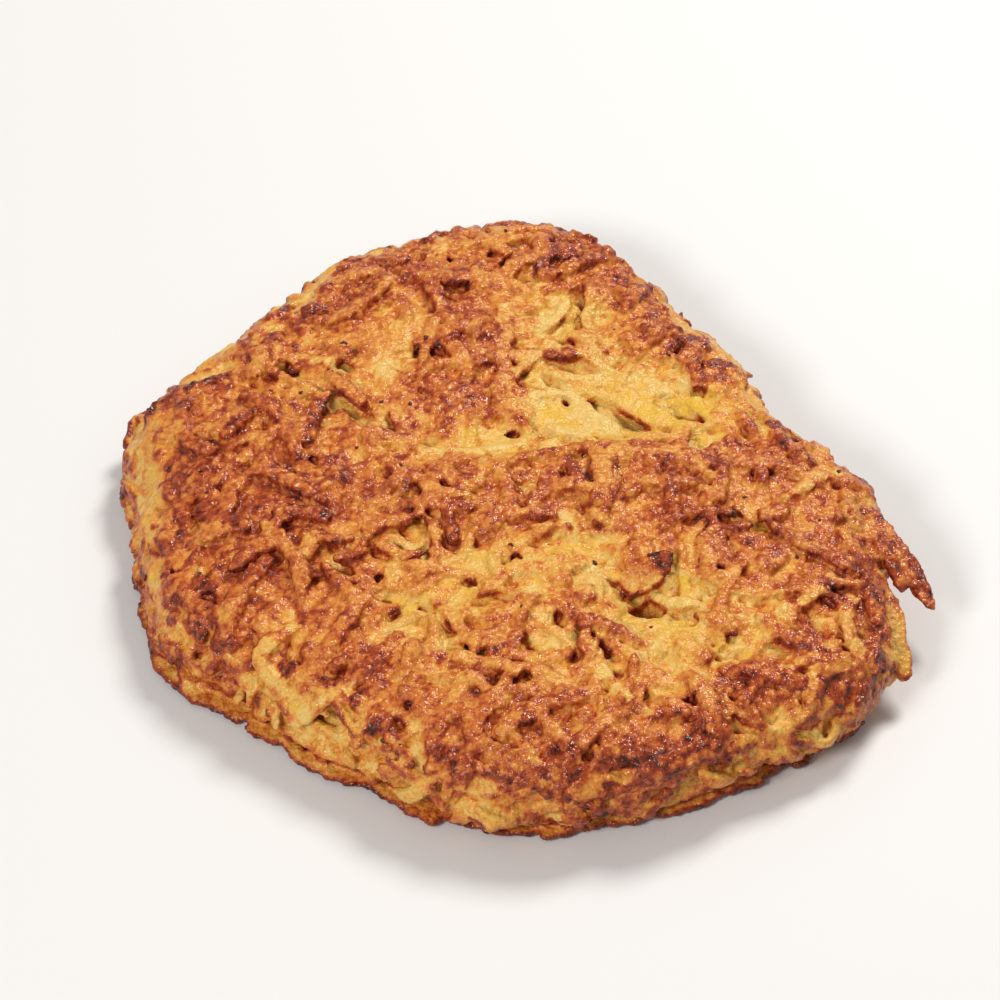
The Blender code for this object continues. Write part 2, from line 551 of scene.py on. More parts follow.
def shreds_mesh(shreds):
    """The shreds as one mesh: each is a copy of the template, bent along its line."""
    template = shred_template()
    mesh = copies_of(template, len(shreds))
    bar = points_of(template)
    lines = np.array([shred.line for shred in shreds], float)
    outs = np.array([shred.outs for shred in shreds], float)
    runs = np.gradient(lines, axis=1)
    runs /= lengths(runs)

    along = bar[:, 2]
    place = along * (STATIONS - 1)
    low = np.minimum(place.astype(int), STATIONS - 2)
    share = (place - low)[None, :, None]

    def on_line(values):
        return values[:, low] * (1 - share) + values[:, low + 1] * share

    def column(name):
        return np.array([getattr(shred, name) for shred in shreds])[:, None]

    out = on_line(outs)
    side = np.cross(on_line(runs), out)
    side /= lengths(side)
    first, last = np.array([shred.ends for shred in shreds]).T[..., None]
    fullness = 1 - (1 - first) * np.clip(1 - along / TAPER, 0, 1) ** TAPER_ROUNDNESS
    fullness *= 1 - (1 - last) * np.clip(1 - (1 - along) / TAPER, 0, 1) ** TAPER_ROUNDNESS
    fullness *= 1 + WAVER * np.sin(along * WAVER_SPEED + column("tone") * WAVER_START)
    width, thickness, roll = column("width"), column("thickness"), column("roll")
    across, up = bar[:, 0], bar[:, 1]
    wide = (across * np.cos(roll) * width - up * np.sin(roll) * thickness) / 2
    high = (across * np.sin(roll) * width + up * np.cos(roll) * thickness) / 2
    level = column("level") + column("tilt") * (2 * along - 1)
    points = on_line(lines) + side * (wide * fullness)[..., None] + out * (high * fullness + level)[..., None]
    set_points(mesh, points.reshape(-1, 3))
    return mesh


# --------------------------------------------------------------------------------------------------
# Where the crust is browned, pale, raised and drawn in


class Patch:
    """An oblong part of the top where something is stronger (above 0) or weaker (below 0)."""

    def __init__(self, x, y, length, width, turn, strength):
        self.x, self.y = x * MM, y * MM
        self.length, self.width = length * MM, width * MM
        self.turn = math.radians(turn)
        self.strength = strength

    def weight(self, points):
        x, y = points[:, 0] - self.x, points[:, 1] - self.y
        along = x * math.cos(self.turn) + y * math.sin(self.turn)
        across = y * math.cos(self.turn) - x * math.sin(self.turn)
        far = (2 * along / self.length) ** 2 + (2 * across / self.width) ** 2
        return self.strength * np.exp(-far)


TOP_PATCHES = (
    # Crust that met the pan: the dark left third, the plateaus behind and in the middle, and the rim
    Patch(-31.8, -4.3, 24, 42, 12, 0.15),
    Patch(-9, 35, 15, 6, -20, 0.20),
    Patch(-2.5, 27, 13, 6.5, -65, 0.22),
    Patch(-1.5, 16.5, 13, 6, 70, 0.22),
    Patch(-5, 10, 9, 5, 30, 0.14),
    Patch(-37.5, -4, 6, 13, 10, 0.14),
    Patch(11.7, -4.1, 22, 11, 0, 0.04),
    Patch(28.9, 0.8, 15, 12, -50, 0.05),
    Patch(19.6, 27.5, 36, 6, -52, 0.19),
    Patch(-21.9, 27.7, 24, 6, 38, 0.18),
    # Islands among the shreds of the front half
    Patch(-14.4, -30.9, 8, 8, 0, 0.28),
    Patch(-0.8, -28.4, 5, 12, 10, 0.26),
    Patch(14.4, -27.4, 8, 8, 20, 0.26),
    Patch(23.3, -39.2, 7, 7, 30, 0.28),
    Patch(27.9, -34.0, 6.5, 6.5, 0, 0.32),
    Patch(38.2, -33.3, 11, 9, 40, 0.13),
    Patch(5.2, -38.0, 8, 5, 0, 0.16),
    Patch(35.9, -28.8, 6, 5, 0, 0.10),
    Patch(-0.2, -38.1, 5, 9, 0, 0.12),
    Patch(-19.6, -22.7, 9, 12, 20, 0.12),
    Patch(37.7, -21.3, 10, 7, 50, 0.06),
    # Scorched spots along the front rim
    Patch(-4.8, -44.5, 4, 3.6, 0, 0.36),
    Patch(7.6, -45.2, 5, 3.4, 0, 0.34),
    Patch(14, -45, 14, 3.2, 6, 0.12),
    # Pale hollows: the basin with its arm, the gullies and the gap at the front left
    Patch(11.9, 10.5, 25, 13, 3, -0.42),
    Patch(24.9, 13.8, 13, 5, -45, -0.18),
    Patch(-2.2, 1.6, 15, 6, 8, -0.34),
    Patch(7, 26, 17, 15, 0, -0.42),
    Patch(-12.5, 23, 12, 12, 0, -0.24),
    Patch(-7, 41.5, 18, 5, 5, -0.22),
    Patch(5, -26, 76, 14, 0, -0.10),
    Patch(20.7, -28, 8, 9, 30, -0.14),
    Patch(5.5, -31.5, 6, 7, 20, -0.14),
    Patch(30, -26, 28, 24, 0, -0.10),
    Patch(19, -32.5, 7, 9, 0, -0.18),
    Patch(10, -41, 9, 5, 0, -0.10),
    Patch(33, -39, 8, 6, 40, -0.14),
    Patch(34, -6.4, 7, 4.5, 0, -0.22),
    Patch(28.6, -29.3, 6, 6, 0, -0.22),
    Patch(-7.6, -22.8, 10, 6, -20, -0.18),
    Patch(4.7, -16.6, 27, 12, 6, -0.21),
    Patch(18.8, -20.4, 7, 5, 0, -0.20),
    Patch(-17.5, 15.3, 15, 12, 30, -0.24),
    Patch(-15.9, -12.9, 13, 13, 0, -0.12),
    Patch(28.5, -6.8, 13, 6, -20, -0.14),
    Patch(38.1, -13, 6, 4, 0, -0.16),
    Patch(-8.8, -36.8, 9, 8, 0, -0.14),
    Patch(14.1, -34.1, 12, 6, 0, -0.20),
    Patch(-20.4, -35.6, 18, 5, -28, -0.14),
)

STRANDS = (
    # The loose curl at the front left, and the pale strips in the gap under it
    Strand(((-23.4, -25, 0.1), (-26.4, -27.4, 1.2), (-28.4, -30.6, 1.8), (-27.2, -33.4, 1.2),
            (-24.8, -34.4, 0.1)), 2.1, 1.4, -0.36, tone=0.3),
    WallStrand(((229, 5.4, -1.2), (239, 4.7, -1.0), (250, 4.4, -1.2)), 3.0, 1.1, -0.28, tone=1.0),
    WallStrand(((230, 3.0, -0.4), (240, 2.6, 0.3), (251, 2.6, -0.2)), 2.6, 1.1, -0.34, tone=0.2),
    WallStrand(((243, 6.8, -1.3), (248, 5.2, -0.6), (253, 3.0, 0.4)), 2.0, 1.0, -0.36, tone=0.0),
    WallStrand(((224, 8.4, 0.2), (233, 8.9, 0.7), (243, 9.2, 0.8), (254, 9.0, 0.3)), 1.8, 1.3, 0.16),
    # The yellow strips in the basin, and the lip of the plateau in front of it
    Strand(((13.4, 15.4, -0.3), (16.9, 11.4, 0.5), (20.6, 8.6, 0.2)), 3.6, 1.1, -0.32, tone=0.8),
    Strand(((9.0, 12.8, -0.3), (10.9, 9.6, 0.4), (14.1, 7.4, 0.0)), 2.6, 1.0, -0.36, tone=0.0),
    Strand(((3.8, 6.6, -0.3), (7.9, 9.5, 0.2), (12.8, 6.6, -0.2)), 1.8, 0.9, -0.28, tone=0.0),
    Strand(((2.4, 11.2, -0.2), (6.0, 13.4, 0.4), (9.6, 12.9, 0.1)), 1.5, 0.9, -0.30, tone=0.1),
    Strand(((5.2, 17.2, -0.2), (9.1, 15.8, 0.4), (12.6, 16.8, 0.0)), 1.4, 0.9, -0.24, tone=0.3),
    Strand(((-6.6, 2.0, -0.2), (-1.8, 3.2, 0.4), (3.0, 4.7, 0.1)), 1.6, 0.9, -0.26, tone=0.0),
    Strand(((15.8, 5.6, -0.2), (18.8, 4.9, 0.3), (22.3, 6.0, 0.0)), 1.5, 0.9, -0.18, tone=0.4),
    Strand(((-1.2, 12.8, -0.2), (1.8, 15.6, 0.3), (3.9, 19.3, 0.0)), 1.5, 0.9, -0.12),
    # Pale strips in the dip under the back edge
    Strand(((4.6, 24.8, -0.2), (7.2, 27.6, 0.4), (8.2, 31.2, 0.0)), 1.6, 0.9, -0.26, tone=0.0),
    Strand(((11.6, 24.6, -0.2), (10.4, 28.0, 0.4), (13.0, 31.4, 0.0)), 1.4, 0.9, -0.20, tone=0.3),
    Strand(((-0.7, -0.8, 0.0), (5.9, 1.9, 0.5), (11.3, 2.3, 0.6), (19.7, 0.5, 0.1)), 1.5, 1.0, 0.08),
    Strand(((3.9, 20.2, -0.1), (8, 19.8, 0.5), (13.1, 21, 0.1)), 1.6, 0.9, 0.14),
    # The brown flap over the hole in the front gully, and the strips round it
    Strand(((14.2, -19.0, -0.2), (17.0, -17.6, 0.9), (20.0, -16.2, 1.9)), 3.8, 0.9, 0.24, 0.40, (0.9, 0.25)),
    Strand(((17.3, -19.2, -0.5), (19.6, -21.7, 0.4), (23.1, -22.1, 0.1)), 1.8, 0.9, -0.20),
    Strand(((8.6, -13, -0.3), (6.1, -16.5, 0.5), (7.1, -20.5, 0.1)), 1.8, 0.9, -0.18),
    Strand(((0.8, -10.9, -0.2), (-0.7, -15.5, 0.5), (0.3, -19.9, 0.1)), 1.5, 0.8, -0.16),
    # Loops of shred on the back rim
    Strand(((-18.4, 34, -0.2), (-14.4, 40.2, 0.7), (-9.6, 39.2, 0.7), (-5.9, 34.6, -0.2)), 1.3, 0.9, 0.02),
    # The dark curled shred along the right rim
    Strand(((28.6, 19.3, 0.0), (31.3, 15.6, 0.5), (33.2, 5.9, 0.5), (37.3, 2.2, 0.2)), 1.7, 1.2, 0.30),
    Strand(((27.3, 12.1, 0.0), (29.7, 8.8, 0.4), (30.9, 5.2, 0.0)), 1.3, 0.9, -0.14),
    # Two crisp spikes that hang off the right rim, and the frayed ends beside them
    HangingStrand(((42.3, -2.5, 0.1), (46.2, -8.8, 8.7), (48.3, -12.5, 7.2), (50.6, -17.0, 5.5)),
                  2.4, 1.2, -0.08, 0.24, (0.9, 0.35)),
    HangingStrand(((42.6, -12.6, 0.0), (45.0, -20.1, 8.0), (45.9, -23.7, 6.0), (47.0, -27.1, 4.0)),
                  3.4, 1.1, -0.18, 0.10, (0.9, 0.30)),
    HangingStrand(((41.0, -4.4, 0.1), (45.1, -10.8, 9.0), (46.4, -13.8, 8.0), (47.3, -15.3, 6.9)),
                  1.7, 1.0, -0.10, 0.08),
    HangingStrand(((40.0, 1.6, 0.1), (43.7, -5.3, 9.3), (45.0, -7.8, 8.9), (46.0, -10.0, 8.2)),
                  1.6, 1.0, -0.02, 0.10),
    # Pale loops and ends on the right of the front wall
    WallStrand(((312.1, 6.2, 0.1), (315, 4.6, 1.5), (318.3, 6.0, 0.1)), 1.3, 0.8, -0.20),
    WallStrand(((306.3, 7.0, 0.0), (309.3, 5.0, 1.1), (313.1, 3.4, 0.2)), 1.4, 0.9, -0.18),
    WallStrand(((296.6, 6.8, 0.1), (299.6, 5.6, 1.3), (302.5, 4.2, 0.3)), 1.7, 1.0, -0.20),
    WallStrand(((287.4, 4.2, 0.2), (289.9, 2.6, 1.0), (292.3, 1.4, 1.9)), 1.5, 0.8, -0.18),
    WallStrand(((277.6, 3.6, 0.1), (280.1, 2.2, 0.9), (281.5, 1.0, 1.7)), 1.6, 0.8, -0.20),
    WallStrand(((260.6, 6.6, 0.2), (257.9, 5.0, 1.2), (255.4, 3.6, 0.9)), 1.8, 1.0, -0.16),
    WallStrand(((266.6, 5.4, 0.1), (269.6, 4.4, 0.8), (273.6, 3.6, 0.2)), 1.7, 0.9, -0.12),
    # The dark lip of the top crust along the front, and the burnt tips at the back of the left side
    WallStrand(((262.6, 9.4, 0.3), (270.6, 9.0, 0.7), (278.6, 9.2, 0.7), (286.4, 9.4, 0.3)), 1.5, 1.1, 0.30),
    WallStrand(((283.4, 9.6, 0.3), (290.4, 9.3, 0.6), (294.7, 9.4, 0.2)), 1.4, 1.0, 0.24),
    WallStrand(((152.1, 10.4, 0.2), (157.4, 10.0, 1.1), (160.6, 7.6, 0.9)), 1.7, 1.0, 0.34, 0.44),
    WallStrand(((157.4, 5.0, 0.2), (160.6, 4.6, 1.6), (163.8, 3.0, 1.2)), 1.7, 1.0, 0.34, 0.44),
    WallStrand(((211.6, 3.0, 0.2), (213.7, 2.2, 1.8), (216.9, 1.6, 0.6)), 2.4, 1.2, 0.20),
    # The dark outer edge of the left side, and the pale strips above it
    WallStrand(((166, 3.2, 0.5), (174, 2.5, 0.9), (182, 2.8, 0.6), (190, 2.2, 0.7)), 1.3, 1, 0.3, tone=0.5),
    WallStrand(((187, 3.2, 0.4), (195, 2.4, 0.9), (203, 2.7, 0.5), (210, 2, 0.6)), 1.2, 1, 0.28, tone=0.5),
    WallStrand(((170, 6.6, 0.1), (178, 5.6, 0.5), (185, 6.1, 0.1)), 1.8, 1.0, -0.26, tone=0.2),
    WallStrand(((189, 5.6, 0.1), (197, 6.4, 0.5), (205, 5.4, 0.1)), 1.7, 1.0, -0.24, tone=0.6),
)

# Where the wall gives way under the top crust: bearing and half width in degrees, and the rest in millimetres
Recess = namedtuple("Recess", "bearing spread height half_height depth")
RECESSES = (Recess(240, 12, 5.4, 2.8, 3.0), Recess(266, 8, 5.6, 2.2, 0.9), Recess(300, 15, 5.0, 2.2, 0.9))
RECESS_REACH = (4 * MM, 8 * MM)  # how far in from the rim a recess starts to end, and ends

# Holes in the top, in millimetres
Hole = namedtuple("Hole", "x y width depth")
TOP_HOLES = (Hole(16.6, -21.2, 4.6, 2.4), Hole(-23.8, -30.8, 4.2, 1.4), Hole(-19.9, -33.2, 3.4, 1.2))

# The top rises and falls in islands of these sizes, by these heights, and higher where it browned more
ISLANDS = ((5.2 * MM, 0.55 * MM), (2.7 * MM, 0.40 * MM))
PATCH_RISE = 1.5 * MM
TOP_BAND = (0.35 * HEIGHT, 0.62 * HEIGHT)  # the heights between which the wall turns into the top
UPRIGHT_STRETCH = (1, 1, 0.35)  # makes islands and patches run on down the wall

# The pan presses down this much of what stands higher than this over the dome
PRESSED_SHARE = 0.65
PAN_GAP = 0.55 * MM
GROUND_GAP = 0.12 * MM  # how far the shreds stay over the ground


def patch_weight(points):
    """How much more (above 0) or less (below 0) the pan browned the top at each point."""
    return sum(patch.weight(points) for patch in TOP_PATCHES)


def recess_depth(cake, points):
    """How far the wall gives way under the top crust at each point."""
    bearing = np.degrees(np.arctan2(points[:, 1], points[:, 0])) % 360
    near_wall = 1 - smooth_step(cake.rim_gap(points), *RECESS_REACH)
    depth = np.zeros(len(points))
    for recess in RECESSES:
        sideways = ((bearing - recess.bearing) / recess.spread) ** 2
        upright = ((points[:, 2] / MM - recess.height) / recess.half_height) ** 2
        depth += recess.depth * MM * near_wall * np.exp(-sideways - upright**1.5)
    return depth


def draw_in(cake, points):
    """Draws the wall in where it gives way under the top crust."""
    radius = np.hypot(points[:, 0], points[:, 1])
    points[:, :2] *= (1 - recess_depth(cake, points) / np.maximum(radius, 10 * MM))[:, None]
    return points


def hole_depth(points):
    """How deep each point lies in one of the top's holes."""
    depth = np.zeros(len(points))
    for hole in TOP_HOLES:
        away = np.hypot(points[:, 0] - hole.x * MM, points[:, 1] - hole.y * MM) / (hole.width * MM / 2)
        depth += hole.depth * MM * np.exp(-(away**4))
    return depth


def press_top(cake, points, pressed_share=PRESSED_SHARE):
    """Shapes the top in islands and patches, presses it under the pan, and keeps all above the ground."""
    on_top = smooth_step(points[:, 2], *TOP_BAND)
    above = np.flatnonzero(on_top > 0)
    flat = points[above] * UPRIGHT_STRETCH
    rise = PATCH_RISE * patch_weight(flat)
    for size, height in ISLANDS:
        rise += height * rough_field(flat, size, seed=6.0)
    points[above, 2] += (rise - hole_depth(flat)) * on_top[above]
    over = points[:, 2] - cake.dome(points) - PAN_GAP
    pressed = (over > 0) & (on_top > 0.5)
    points[:, 2] -= np.where(pressed, over * pressed_share, 0)
    points[:, 2] = np.maximum(points[:, 2], GROUND_GAP)
    return points


# --------------------------------------------------------------------------------------------------
# Shreds that stand out of the pressed cake

# Shreds over the pressed top: the share by which the pan presses them down, and their thickness
PROUD_PRESSED_SHARE = 0.45
PROUD_THICKNESS = 1.0 * MM

# The thin crisp skirt round the foot
SKIRT_COUNT = 440
SKIRT_DEPTH = 5.0 * MM  # how far in from its edge it starts
SKIRT_HEIGHT = 0.75 * MM
SKIRT_CRISPNESS = 0.16
# How far it reaches past the cake, in millimetres, and how much further near one bearing, in degrees
SKIRT_REACH = -1.0
SKIRT_EXTRA = 2.2
SKIRT_BEARING = 220
SKIRT_SPREAD = 34
SKIRT_WAVES = 6  # how often its edge wavers
SKIRT_SEED = 3.3

# Short ends of shreds that stick out all round the wall
LOOSE_ENDS = 300


def proud_shreds(cake, chooser, sizes):
    """Separate shreds over the pressed top, whose whole length shows."""
    shreds = []
    for shred in scattered(cake, chooser, cake.top, sizes.proud_shreds, sizes, (0, 0)):
        line = press_top(cake, np.array(shred.line) + np.array(shred.outs) * 0.5 * MM, PROUD_PRESSED_SHARE)
        rise = Vector((0, 0, chooser.uniform(0.20, 0.55) * MM))
        crispness = chooser.uniform(-0.18, 0.05)
        proud = shred._replace(
            line=[Vector(point) + rise for point in line],
            width=shred.width * 0.9,
            thickness=PROUD_THICKNESS,
            level=0,
            tilt=0,
            roll=0,
            crispness=(crispness, crispness),
        )
        shreds.append(proud)
    return shreds


def skirt_edge(cake, bearing):
    """How far from the middle the skirt reaches at this bearing: uneven, and further at the front left."""
    turn = math.radians(bearing)
    extra = SKIRT_EXTRA * math.exp(-(((bearing - SKIRT_BEARING) / SKIRT_SPREAD) ** 2))
    uneven = noise.noise(Vector((math.cos(turn) * SKIRT_WAVES, math.sin(turn) * SKIRT_WAVES, SKIRT_SEED)))
    return cake.reach_at(bearing) + (SKIRT_REACH + extra + uneven) * MM


def skirt_shreds(cake, chooser, sizes):
    """The thin crisp skirt round the foot, of shreds that lie flat on the pan."""
    shreds = []
    for _ in range(SKIRT_COUNT):
        bearing = chooser.uniform(0, 360)
        length = sizes.shred_length * chooser.uniform(0.45, 1.0)
        inward = SKIRT_DEPTH * chooser.random() ** 1.5
        lean = chooser.gauss(0, 0.14)
        height = SKIRT_HEIGHT * chooser.uniform(0.8, 1.3)
        line = []
        for share in SHARES:
            along = share - 0.5
            here = bearing + math.degrees(along * length / cake.reach_at(bearing))
            radius = skirt_edge(cake, here % 360) - inward + along * length * math.sin(lean)
            turn = math.radians(here)
            line.append(Vector((radius * math.cos(turn), radius * math.sin(turn), height)))
        outs = [Vector((0, 0, 1))] * STATIONS
        width = sizes.shred_width * chooser.uniform(0.6, 1.1)
        thickness = sizes.shred_thickness * chooser.uniform(0.6, 0.9)
        ends = (chooser.uniform(0.2, 0.7), chooser.uniform(0.2, 0.7))
        crispness = (SKIRT_CRISPNESS, SKIRT_CRISPNESS)
        shreds.append(Shred(line, outs, width, thickness, ends, chooser.random(), crispness=crispness))
    return shreds


def loose_ends(cake, chooser, sizes):
    """Short ends that stick out of the wall, pale in the middle of it and crisp at their tips."""
    shreds = []
    for _ in range(LOOSE_ENDS):
        bearing = chooser.uniform(0, 360)
        height = HEIGHT * chooser.uniform(0.16, 0.74)
        drift, drop = chooser.gauss(0, 3.2), chooser.gauss(-0.7, 1.3) * MM
        stands = chooser.uniform(0.5, 1.5) * MM
        start = cake.on_wall(bearing, height, -0.2 * MM)
        middle = cake.on_wall(bearing + drift / 2, height + drop / 2, stands * 0.7)
        tip = cake.on_wall(bearing + drift, max(height + drop, 1.0 * MM), stands)
        line = [start.lerp(middle, share).lerp(middle.lerp(tip, share), share) for share in SHARES]
        outs = [cake.nearest(point)[1] for point in line]
        width = sizes.shred_width * chooser.uniform(0.5, 0.95)
        thickness = sizes.shred_thickness * chooser.uniform(0.6, 1.0)
        crispness = (0.0, chooser.uniform(-0.12, 0.26))
        ends = (0.8, chooser.uniform(0.15, 0.6))
        shreds.append(Shred(line, outs, width, thickness, ends, chooser.random(), crispness=crispness))
    return shreds


# --------------------------------------------------------------------------------------------------
# The crust: shreds welded to the core, blistered, browned, and given painted shade in its hollows

# How far the shreds' middles may lie under or over the smooth cake
TOP_LEVELS = (-0.9 * MM, 0.45 * MM)
WALL_LEVELS = (-1.4 * MM, 0.45 * MM)
UNDER_LEVELS = (-1.0 * MM, 0.0)
WALL_FLATNESS = 0.6
LOOK_STATIONS = (0, 2, 4, 5, 7)  # the points of a shred's line that give the crust their tone and crispness

# Browning runs from 0, raw, to 1, burnt. It starts from a usual level, to which the shred's tone and the
# broad and medium unevenness of the frying add
Frying = namedtuple("Frying", "level tone broad medium")
TOP_FRYING = Frying(0.13, 0.18, 0.04, 0.07)
WALL_FRYING = Frying(0.53, 0.30, 0.14, 0.10)
UNDER_FRYING = Frying(0.60, 0.12, 0.10, 0.05)
MOST_BROWNING = 0.88

# What adds to the browning of the top: touching the pan, its patches and its rim
CONTACT_BROWNING = 0.38
PATCH_BROWNING = 0.50
RIM_BROWNING = 0.08
# What adds to the browning of the wall, and what takes from it: its foot, its shoulder and its recesses
FOOT_BROWNING = 0.30
SHOULDER_BROWNING = 0.26
RECESS_PALENESS = 0.14
# Hollows in the underside stay pale
HOLLOW_PALENESS = 0.34
# Ridges brown. The gaps between pale shreds, the holes and the small pits get painted shade: they are browned
# darker where shade falls in them
RIDGE_BROWNING = 0.30
GAP_PAINTED_SHADE = 0.30
HOLE_PAINTED_SHADE = 0.11
PIT_PAINTED_SHADE = 1.5
PIT_DEPTH = 0.18
# The height of the blisters on pale and on crisp crust, and of the finer roughness
PALE_BLISTER = 0.05 * MM
CRISP_BLISTER = 0.24 * MM
FINE_HEIGHT = 0.08 * MM
FINEST_HEIGHT = 0.05 * MM


class Surface:
    """The welded crust before it is blistered, with what is measured at each of its vertices."""

    def __init__(self, crust, tone, crispness):
        self.points, self.normals, self.edges = points_of(crust), normals_of(crust), edges_of(crust)
        self.height = self.points[:, 2]
        self.tone, self.crispness = tone, crispness
        up = smoothed(self.normals[:, 2], self.edges, 12)
        self.faces_up = smooth_step(up, 0.25, 0.7)
        self.faces_down = smooth_step(-up, 0.35, 0.8)
        self.broad = rough_field(self.points, 8 * MM, seed=1.0)
        self.medium = rough_field(self.points, 2.4 * MM, seed=2.0)
        self.fine = rough_field(self.points, 1.1 * MM, seed=3.0)
        self.finest = rough_field(self.points, 0.65 * MM, seed=4.0)
        self.blisters = blister_field(self.points, 1.05 * MM, seed=5.0)

    def fried(self, frying):
        """The browning from this usual level and unevenness."""
        level = frying.level + frying.tone * (self.tone - 0.5)
        return level + frying.broad * self.broad + frying.medium * self.medium

    def bulge(self):
        """How far each point stands out of the surface round it, in millimetres."""
        mean = [smoothed(self.points[:, axis], self.edges, 24) for axis in range(3)]
        return ((self.points - np.stack(mean, axis=1)) * self.normals).sum(1) / MM

    def pits(self):
        """How far each point lies under the height of the crust round it, in millimetres."""
        return (smoothed(self.height, self.edges, 70) - self.height) / MM


def top_browning(cake, surface):
    lift = np.where(surface.faces_up > 0, surface.height - cake.dome(surface.points), 0)
    contact = smooth_step(lift + 0.30 * MM * surface.medium, -0.7 * MM, 0.9 * MM)
    at_rim = 1 - smooth_step(cake.rim_gap(surface.points), 0.5 * MM, 4 * MM)
    browning = surface.fried(TOP_FRYING) + CONTACT_BROWNING * contact + RIM_BROWNING * at_rim
    return browning + PATCH_BROWNING * patch_weight(surface.points)


def wall_browning(cake, surface):
    foot = 1 - smooth_step(surface.height, 0.8 * MM, 2.6 * MM)
    shoulder = smooth_step(surface.height / HEIGHT, 0.5, 0.72)
    recess = np.clip(recess_depth(cake, surface.points) / MM, 0, 2)
    browning = surface.fried(WALL_FRYING) + FOOT_BROWNING * foot + SHOULDER_BROWNING * shoulder
    return browning - RECESS_PALENESS * recess


def underside_browning(surface):
    hollow = smooth_step(surface.height, 0.1 * MM, 0.9 * MM)
    return surface.fried(UNDER_FRYING) - HOLLOW_PALENESS * hollow


def brown_and_blister(crust, cake, surface):
    """Browns the crust by where it met the pan, paints shade into its gaps, holes, pits and blister creases,
    and raises its blisters.
    """
    bulge = surface.bulge()
    beside = 1 - surface.faces_up - surface.faces_down
    browning = top_browning(cake, surface) * surface.faces_up + wall_browning(cake, surface) * beside
    browning += underside_browning(surface) * surface.faces_down
    browning += RIDGE_BROWNING * np.clip(bulge, -0.4, 0.35) + surface.crispness

    crisp = smooth_step(browning, 0.30, 0.60)
    in_top = (1 - surface.faces_down) * smooth_step(surface.height, 0.45 * HEIGHT, 0.65 * HEIGHT)
    # Painted shade: the gaps between pale shreds, the holes and the small pits are browned darker, where
    # shade falls in them
    browning += GAP_PAINTED_SHADE * (1 - crisp) * np.clip(-bulge - 0.05, 0, 0.5)
    browning += HOLE_PAINTED_SHADE * hole_depth(surface.points) / MM * surface.faces_up
    browning += PIT_PAINTED_SHADE * (1 - 0.6 * crisp) * np.clip(surface.pits() - PIT_DEPTH, 0, 0.4) * in_top
    # Painted shade: on crisp crust the creases between the blisters are browned darker, where shade falls in
    # them
    browning += (0.04 - 0.34 * crisp) * (surface.blisters - 0.6) + 0.04 * surface.fine

    relief = (PALE_BLISTER + (CRISP_BLISTER - PALE_BLISTER) * crisp) * surface.blisters
    relief += FINE_HEIGHT * surface.fine + FINEST_HEIGHT * surface.finest
    points = surface.points + surface.normals * relief[:, None]
    points[:, 2] = np.maximum(points[:, 2], 0.01 * MM)
    set_points(crust, points)
    # The browning attribute holds the frying and the painted shade of the gaps, holes, pits and blister
    # creases
    set_attribute(crust, "browning", np.clip(browning, 0, MOST_BROWNING))
    set_attribute(crust, "tone", surface.tone)
    set_attribute(crust, "out", normals_of(crust))


def looks_of(points, cake, shreds, strands):
    """The tone and the crispness of the shred nearest to each point."""
    middles = [shred.line[at] + shred.outs[at] * shred.level for shred in shreds for at in LOOK_STATIONS]
    middles = [Vector(point) for point in press_top(cake, np.array(middles))]
    middles += [strand.line[at] for strand in strands for at in LOOK_STATIONS]
    tree = kdtree.KDTree(len(middles))
    for index, middle in enumerate(middles):
        tree.insert(middle, index)
    tree.balance()
    nearest = np.array([tree.find(Vector(point))[1] for point in points])
    tones = np.repeat([shred.tone for shred in shreds + strands], len(LOOK_STATIONS))
    ends = np.array([shred.crispness for shred in shreds + strands])
    share = np.array(LOOK_STATIONS) / (STATIONS - 1)
    crispness = (ends[:, :1] * (1 - share) + ends[:, 1:] * share).ravel()
    return tones[nearest], crispness[nearest]


def make_crust(cake, sizes):
    """The welded and browned crust as a mesh, with its browning, which holds painted shade as well, and its
    tone as attributes.
    """
    chooser = random.Random(sizes.seed)
    shreds = scattered(cake, chooser, cake.top, sizes.shreds_on_top, sizes, TOP_LEVELS)
    shreds += scattered(cake, chooser, cake.wall, sizes.shreds_on_wall, sizes, WALL_LEVELS, WALL_FLATNESS)
    shreds += scattered(cake, chooser, cake.under, sizes.shreds_below, sizes, UNDER_LEVELS)
    laid, core = shreds_mesh(shreds), cake.core(sizes.core_inset)
    for mesh in (laid, core):
        set_points(mesh, press_top(cake, draw_in(cake, points_of(mesh))))
    strands = [laid_strand(cake, strand, chooser) for strand in STRANDS]
    strands += proud_shreds(cake, chooser, sizes)
    strands += skirt_shreds(cake, chooser, sizes)
    strands += loose_ends(cake, chooser, sizes)
    crust = without_crumbs(remeshed([core, laid, shreds_mesh(strands)], sizes.crust_cell, 1))
    tone, crispness = looks_of(points_of(crust), cake, shreds, strands)
    brown_and_blister(crust, cake, Surface(crust, tone, crispness))
    return crust


# --------------------------------------------------------------------------------------------------
# The crust in four closed quarters

CRUST_PARTS = (
    # Name, then whether it is the upper part and the front part of the crust
    ("upper_front_crust", True, True),
    ("upper_back_crust", True, False),
    ("lower_front_crust", False, True),
    ("lower_back_crust", False, False),
)
CUT_POINT = (0, -5 * MM, HEIGHT * 0.40)  # where the two planes that cut the crust cross


